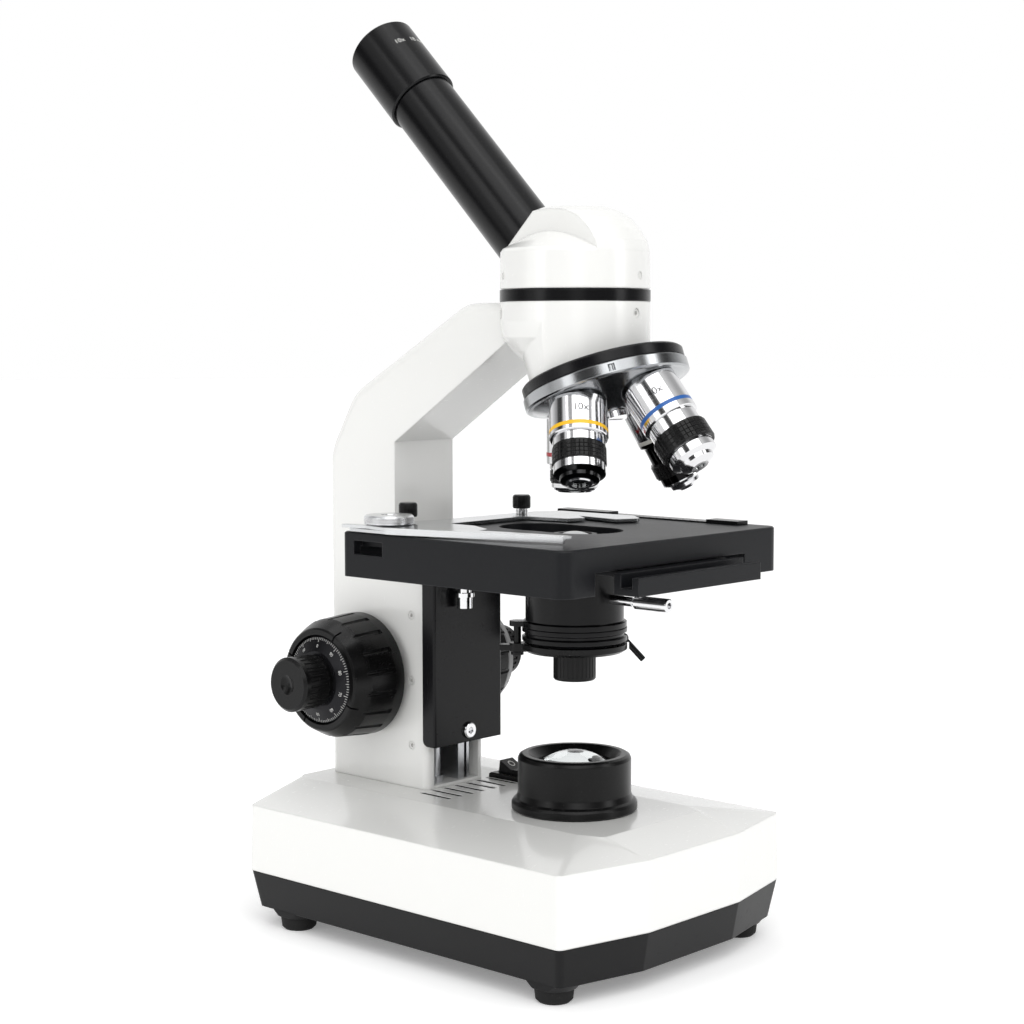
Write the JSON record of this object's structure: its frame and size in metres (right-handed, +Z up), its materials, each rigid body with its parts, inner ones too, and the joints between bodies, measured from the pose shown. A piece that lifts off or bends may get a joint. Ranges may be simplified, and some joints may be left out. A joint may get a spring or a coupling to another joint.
{
  "type": "compound microscope",
  "caption": "Monocular student microscope: lamp base, cast arm with coaxial focus knobs, turning objective turret, inclined tube and stage with slide holder.",
  "frame": {"origin": "centre of the bounding box on the bench, under the stage", "axes": "+Z up; -Y towards the lamp side of the base; +Y towards the arm, the eyepiece and the user; +X towards the switch"},
  "size_m": [0.1466, 0.2103, 0.4027],
  "materials": {
    "ivory_paint": "gloss off-white stove enamel",
    "black_paint": "satin black enamel",
    "stage_black": "fine textured black coating",
    "black_plastic": "satin moulded black",
    "knob_black": "satin moulded black, graduated dial",
    "black_anodised": "black anodised",
    "rubber_black": "matt",
    "chrome_plate": "bright plated",
    "bright_steel": "ground and polished",
    "dark_steel": "oiled steel",
    "turned_aluminium": "turned, satin",
    "brass_bush": "turned",
    "board_green": "glass-filled board",
    "optical_glass": "clear, polished",
    "band_red": "filled enamel line",
    "band_yellow": "filled enamel line",
    "band_blue": "filled enamel line",
    "band_white": "filled enamel line"
  },
  "bodies": {
    "stand": {"base_shell": "ivory_paint", "base_pan": "black_paint", "rubber_feet": "rubber_black", "base_screws": "dark_steel", "control_board": "board_green", "power_socket": "black_plastic", "switch_bezel": "black_plastic", "lamp_housing": "black_plastic", "collector_lens": "optical_glass", "led_module": "turned_aluminium", "arm": "ivory_paint", "arm_side_screws": "dark_steel", "guide_rods": "bright_steel", "shaft_bushes": "brass_bush", "nosepiece_seat": "black_paint", "nosepiece_pivot": "chrome_plate", "head_ring": "black_anodised", "collar_screws": "dark_steel"},
    "rocker": {"switch_rocker": "black_plastic"},
    "head": {"head_housing": "ivory_paint", "observation_tube": "black_anodised", "prism": "optical_glass", "head_screws": "dark_steel"},
    "eyepiece": {"eyepiece_barrel": "black_anodised", "eye_lens": "optical_glass", "field_lens": "optical_glass"},
    "turret": {"nosepiece_disc": "turned_aluminium", "objective_4x": "chrome_plate", "objective_10x": "chrome_plate", "objective_40x": "chrome_plate", "objective_100x": "chrome_plate", "band_red": "band_red", "band_yellow": "band_yellow", "band_blue": "band_blue", "band_white": "band_white", "objective_grips": "black_anodised", "objective_lenses": "optical_glass"},
    "focus_slide": {"rack_slide": "turned_aluminium"},
    "coarse_drive": {"coarse_knobs": "knob_black", "pinion_shaft": "dark_steel"},
    "stage_carriage": {"stage_bracket": "black_paint", "stage_body": "stage_black", "stage_scale": "black_anodised", "bracket_screw": "chrome_plate", "stage_stop_screw": "chrome_plate", "condenser_body": "black_anodised", "condenser_lens": "optical_glass"},
    "fine_drive": {"fine_knobs": "knob_black", "fine_dials": "black_anodised", "fine_spindle": "dark_steel"},
    "cross_slide": {"cross_slide": "stage_black"},
    "slide_holder": {"holder_plate": "bright_steel", "holder_screws": "black_anodised"},
    "holder_knob": {"holder_knob": "chrome_plate"},
    "spring_finger": {"spring_finger": "bright_steel"},
    "y_drive": {"y_drive_knob": "knob_black"},
    "x_drive": {"x_drive_knob": "knob_black"},
    "iris": {"iris_ring": "black_anodised"},
    "filter_ring": {"filter_holder": "black_plastic"},
    "lock_screw": {"condenser_lock_screw": "chrome_plate"}
  },
  "joints": [
    {"name": "switch_rock", "type": "hinge", "parent": "stand", "child": "rocker", "pos_m": [0.0282, 0.0256, 0.0608], "axis": [1, 0, 0], "range_deg": [-16, 0]},
    {"name": "head_turn", "type": "hinge", "parent": "stand", "child": "head", "pos_m": [0, -0.0339, 0.283], "axis": [0, 0, 1], "continuous": true},
    {"name": "eyepiece_slide", "type": "slide", "parent": "head", "child": "eyepiece", "axis": [0, 0.7071, 0.7071], "range_m": [0, 0.018]},
    {"name": "turret_turn", "type": "hinge", "parent": "stand", "child": "turret", "pos_m": [0, -0.0339, 0.2888], "axis": [0, -0.342, -0.9397], "continuous": true},
    {"name": "coarse_slide", "type": "slide", "parent": "stand", "child": "focus_slide", "axis": [0, 0, 1], "range_m": [-0.017, 0.004]},
    {"name": "coarse_turn", "type": "hinge", "parent": "stand", "child": "coarse_drive", "pos_m": [0, 0.0741, 0.1097], "axis": [1, 0, 0], "range_deg": [-48, 203]},
    {"name": "fine_slide", "type": "slide", "parent": "focus_slide", "child": "stage_carriage", "axis": [0, 0, 1], "range_m": [-0.0009, 0.0009]},
    {"name": "fine_turn", "type": "hinge", "parent": "stand", "child": "fine_drive", "pos_m": [0, 0.0741, 0.1097], "axis": [1, 0, 0], "range_deg": [-162, 162]},
    {"name": "stage_y", "type": "slide", "parent": "stage_carriage", "child": "cross_slide", "axis": [0, 1, 0], "range_m": [-0.01, 0.008]},
    {"name": "y_drive_turn", "type": "hinge", "parent": "stage_carriage", "child": "y_drive", "pos_m": [0.049, 0.0101, 0.14], "axis": [0, 0, 1], "range_deg": [-145, 116]},
    {"name": "stage_x", "type": "slide", "parent": "cross_slide", "child": "slide_holder", "axis": [1, 0, 0], "range_m": [-0.025, 0.0065]},
    {"name": "x_drive_turn", "type": "hinge", "parent": "stage_carriage", "child": "x_drive", "pos_m": [0.049, 0.0101, 0.13], "axis": [0, 0, 1], "range_deg": [-361, 94]},
    {"name": "holder_knob_turn", "type": "hinge", "parent": "slide_holder", "child": "holder_knob", "pos_m": [-0.0628, 0.0143, 0.186], "axis": [0, 0, 1], "range_deg": [-30, 180]},
    {"name": "finger_swing", "type": "hinge", "parent": "slide_holder", "child": "spring_finger", "pos_m": [-0.0628, 0.0143, 0.183], "axis": [0, 0, 1], "range_deg": [-35, 0], "stiffness_Nm_per_rad": 0.02, "springref_deg": 28.65},
    {"name": "iris_turn", "type": "hinge", "parent": "stage_carriage", "child": "iris", "pos_m": [0, -0.0339, 0.135], "axis": [0, 0, 1], "range_deg": [-35, 35]},
    {"name": "filter_swing", "type": "hinge", "parent": "stage_carriage", "child": "filter_ring", "pos_m": [-0.01648, -0.01591, 0.13], "axis": [0, 0, 1], "range_deg": [-90, 0]},
    {"name": "lock_screw_turn", "type": "hinge", "parent": "stage_carriage", "child": "lock_screw", "pos_m": [0, -0.0739, 0.152], "axis": [0, -1, 0], "range_deg": [0, 180]}
  ],
  "couplings": [
    {"joint": "coarse_turn", "follows": "coarse_slide", "rad_per_m": -208.33},
    {"joint": "fine_turn", "follows": "fine_slide", "rad_per_m": -3141.6},
    {"joint": "y_drive_turn", "follows": "stage_y", "rad_per_m": 251.33},
    {"joint": "x_drive_turn", "follows": "stage_x", "rad_per_m": 251.33}
  ]
}
